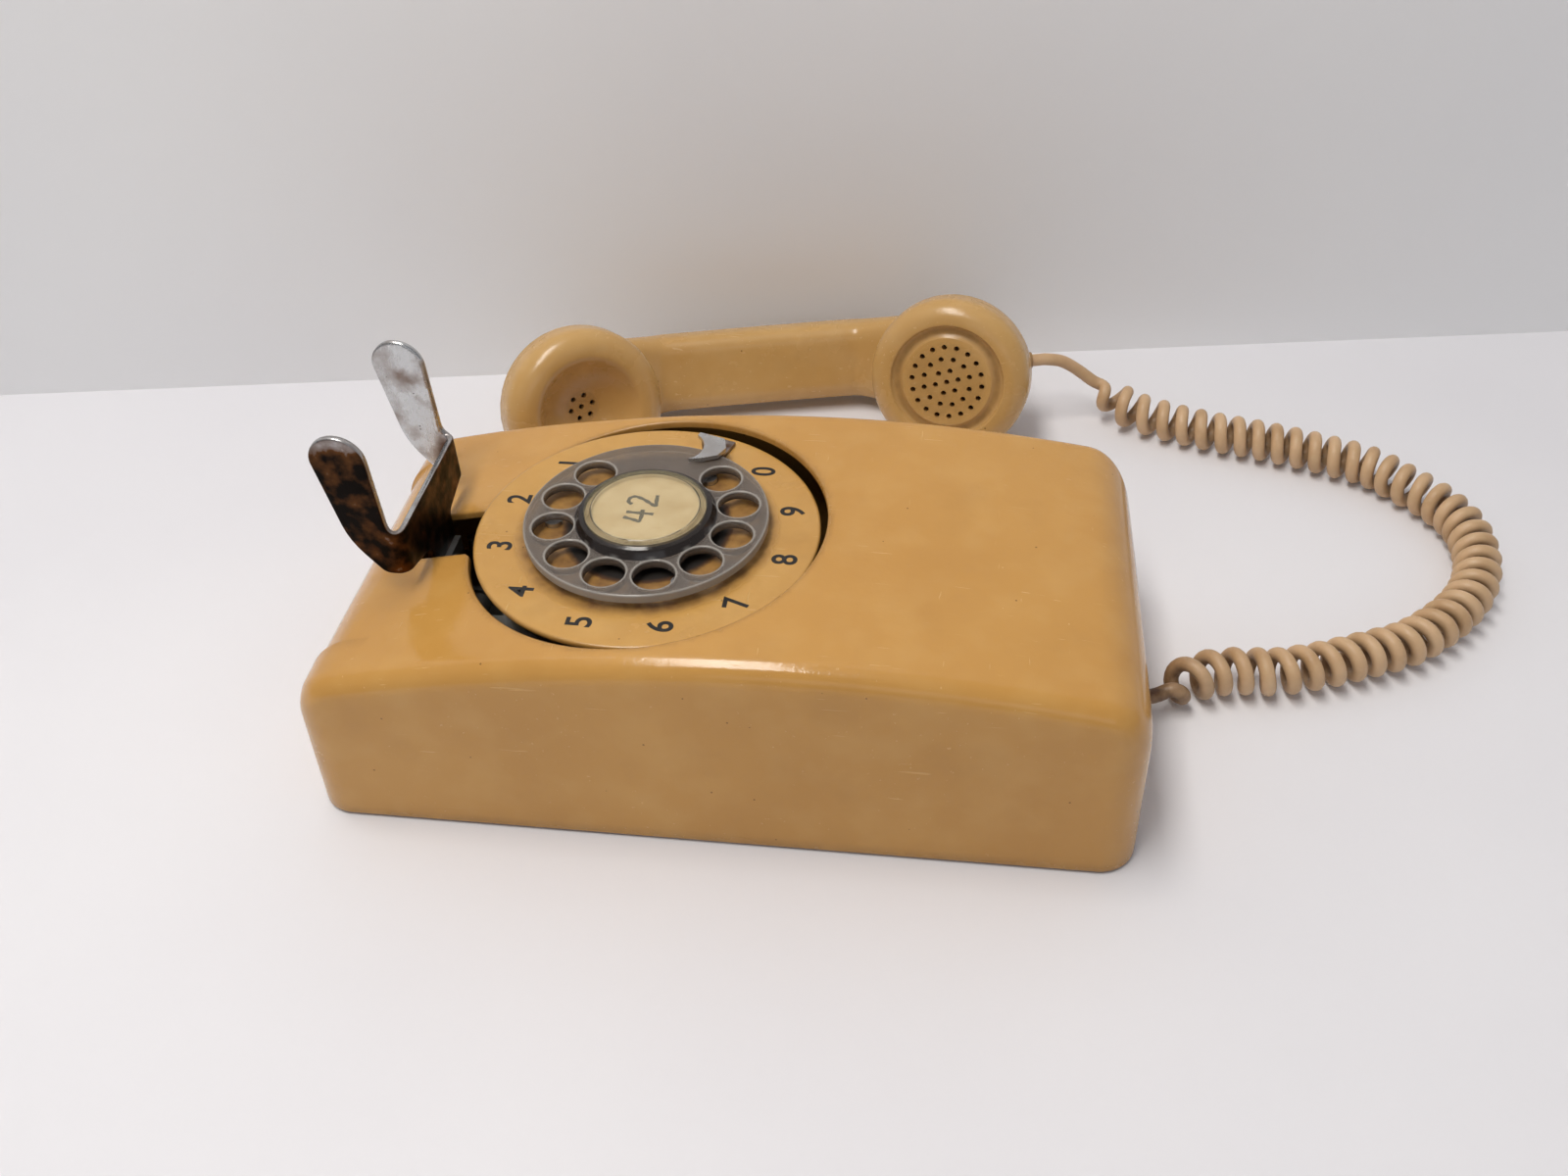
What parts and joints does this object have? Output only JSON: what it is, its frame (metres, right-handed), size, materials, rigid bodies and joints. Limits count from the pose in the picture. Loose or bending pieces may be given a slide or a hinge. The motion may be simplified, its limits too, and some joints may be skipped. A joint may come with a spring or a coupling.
{
  "type": "rotary wall telephone",
  "caption": "Tan wall telephone with a rotary dial, a sprung hook cradle and a bell inside, its handset lying beside it on a curly cord.",
  "frame": {"origin": "middle of the base plate's back, on the wall face", "axes": "+Z out of the wall, +X down the telephone towards the cord end, +Y across it towards the handset"},
  "size_m": [0.3926, 0.2667, 0.116],
  "materials": {
    "tan_shell": "moulded tan thermoplastic, worn gloss",
    "number_ring": "tan plastic with printed digits",
    "clear_amber": "clear plastic, yellowed and grimy",
    "clear_cover": "clear plastic, scratched",
    "card": "aged paper card",
    "chromed_steel": "chrome over steel, pitted",
    "plated_steel": "zinc plated steel",
    "bright_steel": "turned steel",
    "brass": "machined brass",
    "spring_alloy": "nickel silver spring strip",
    "insulator": "brown phenolic laminate",
    "cam_plastic": "white moulded plastic",
    "coil_tape": "varnished coil tape",
    "core_iron": "soft iron",
    "can_metal": "drawn aluminium can",
    "dark_rubber": "black rubber",
    "tan_rubber": "tan vinyl"
  },
  "bodies": {
    "phone": {"base_plate": "plated_steel", "housing": "tan_shell", "housing_screws": "bright_steel", "number_plate": "number_ring", "number_plate_screws": "bright_steel", "finger_stop": "chromed_steel", "dial_frame": "plated_steel", "dial_bridge": "plated_steel", "dial_pillars": "brass", "dial_bracket": "plated_steel", "governor_cup": "brass", "pulse_contacts": "spring_alloy", "contact_insulators": "insulator", "hook_bracket": "plated_steel", "hook_pin": "bright_steel", "switch_springs": "spring_alloy", "switch_insulators": "insulator", "ringer_frame": "plated_steel", "ringer_coil": "coil_tape", "ringer_core": "core_iron", "gongs": "brass", "gong_posts": "bright_steel", "gong_screws": "bright_steel", "clapper_pin": "bright_steel", "network_block": "insulator", "terminal_screws": "brass", "capacitor": "can_metal", "cord_grommet": "dark_rubber", "handset_cord": "tan_rubber"},
    "dial": {"finger_wheel": "clear_amber", "card_retainer": "clear_cover", "number_card": "card", "hub_screw": "bright_steel", "dial_shaft": "bright_steel", "main_gear": "brass"},
    "pulse": {"pulse_arbor": "bright_steel", "pulse_pinion": "brass", "pulse_cam": "cam_plastic", "drive_wheel": "brass"},
    "governor": {"governor_arbor": "bright_steel", "governor_weights": "brass"},
    "hook": {"hook_cradle": "chromed_steel", "hook_lever": "plated_steel", "hook_rivets": "bright_steel"},
    "clapper": {"clapper": "bright_steel"},
    "handset": {"handset_body": "tan_shell", "receiver_cap": "tan_shell", "transmitter_cap": "tan_shell", "receiver_capsule": "can_metal", "transmitter_capsule": "can_metal", "handset_grommet": "tan_rubber"}
  },
  "joints": [
    {"name": "dial_turn", "type": "hinge", "parent": "phone", "child": "dial", "pos_m": [-0.027, 0, 0.07], "axis": [0, 0, -1], "range_deg": [0, 320], "stiffness_Nm_per_rad": 0.012, "springref_deg": -34.38},
    {"name": "pulse_spin", "type": "hinge", "parent": "phone", "child": "pulse", "pos_m": [-0.027, -0.03, 0.05], "axis": [0, 0, -1], "range_deg": [-1290, 5]},
    {"name": "governor_spin", "type": "hinge", "parent": "phone", "child": "governor", "pos_m": [-0.01349, -0.0378, 0.05], "axis": [0, 0, -1], "range_deg": [-5, 4290]},
    {"name": "hook_press", "type": "hinge", "parent": "phone", "child": "hook", "pos_m": [-0.092, 0, 0.024], "axis": [0, 1, 0], "range_deg": [0, 9], "stiffness_Nm_per_rad": 0.5, "springref_deg": -5.73},
    {"name": "clapper_swing", "type": "hinge", "parent": "phone", "child": "clapper", "pos_m": [0.064, 0, 0.015], "axis": [0, 0, 1], "range_deg": [-8, 8]},
    {"name": "handset_lift", "type": "slide", "parent": "phone", "child": "handset", "axis": [0, 0, 1], "range_m": [0, 0.15]}
  ],
  "couplings": [
    {"joint": "pulse_spin", "follows": "dial_turn", "ratio": -4},
    {"joint": "governor_spin", "follows": "dial_turn", "ratio": 13.333}
  ]
}
